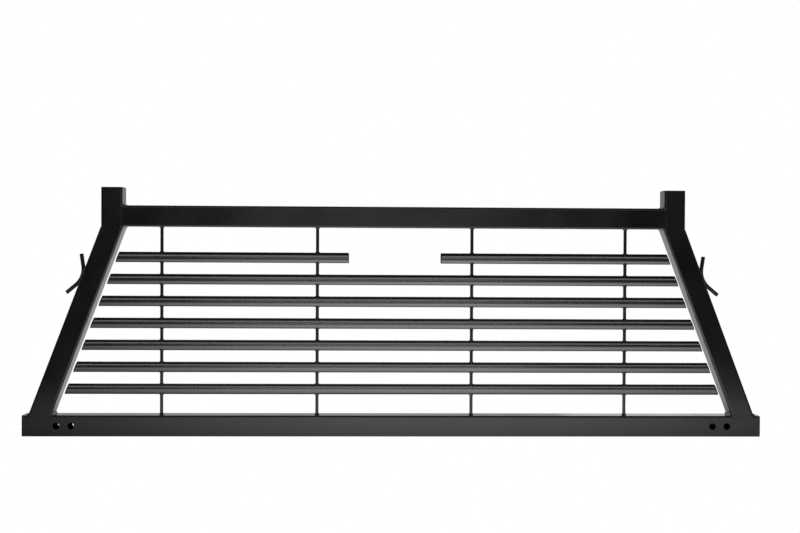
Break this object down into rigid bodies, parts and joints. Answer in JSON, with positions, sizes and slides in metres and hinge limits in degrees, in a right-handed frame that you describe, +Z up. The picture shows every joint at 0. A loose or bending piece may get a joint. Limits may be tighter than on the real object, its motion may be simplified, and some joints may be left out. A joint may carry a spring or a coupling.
{
  "type": "headache rack",
  "caption": "Welded headache rack for a pickup bed: leaning square-tube side rails, short uprights, tie-down hooks, and level oval slats carried on four rods, with a gap for the brake light.",
  "frame": {"origin": "middle of the underside of the bottom rail", "axes": "+X across the truck, to the right as seen from behind the rack's -Y face; -Y is the face away from the cab; +Z up"},
  "size_m": [1.778, 0.0508, 0.597],
  "materials": {
    "powder_coat": "satin black powder coat with a fine orange-peel surface",
    "black_plastic": "moulded black plastic, fine grain"
  },
  "bodies": {
    "root": {"bottom_rail": "powder_coat", "top_rail": "powder_coat", "left_side_rail": "powder_coat", "right_side_rail": "powder_coat", "left_upright": "powder_coat", "right_upright": "powder_coat", "slat_1": "powder_coat", "slat_2": "powder_coat", "slat_3": "powder_coat", "slat_4": "powder_coat", "slat_5": "powder_coat", "slat_6": "powder_coat", "slat_7_left": "powder_coat", "slat_7_right": "powder_coat", "left_outer_rod": "powder_coat", "left_inner_rod": "powder_coat", "right_inner_rod": "powder_coat", "right_outer_rod": "powder_coat", "left_tie_down_hook": "powder_coat", "right_tie_down_hook": "powder_coat", "left_upright_cap": "black_plastic", "left_rail_plug": "black_plastic", "right_upright_cap": "black_plastic", "right_rail_plug": "black_plastic", "slat_7_left_inner_plug": "black_plastic", "slat_7_right_inner_plug": "black_plastic", "slat_1_left_plug": "black_plastic", "slat_2_left_plug": "black_plastic", "slat_3_left_plug": "black_plastic", "slat_4_left_plug": "black_plastic", "slat_5_left_plug": "black_plastic", "slat_6_left_plug": "black_plastic", "slat_7_left_plug": "black_plastic", "slat_1_right_plug": "black_plastic", "slat_2_right_plug": "black_plastic", "slat_3_right_plug": "black_plastic", "slat_4_right_plug": "black_plastic", "slat_5_right_plug": "black_plastic", "slat_6_right_plug": "black_plastic", "slat_7_right_plug": "black_plastic"}
  },
  "joints": []
}
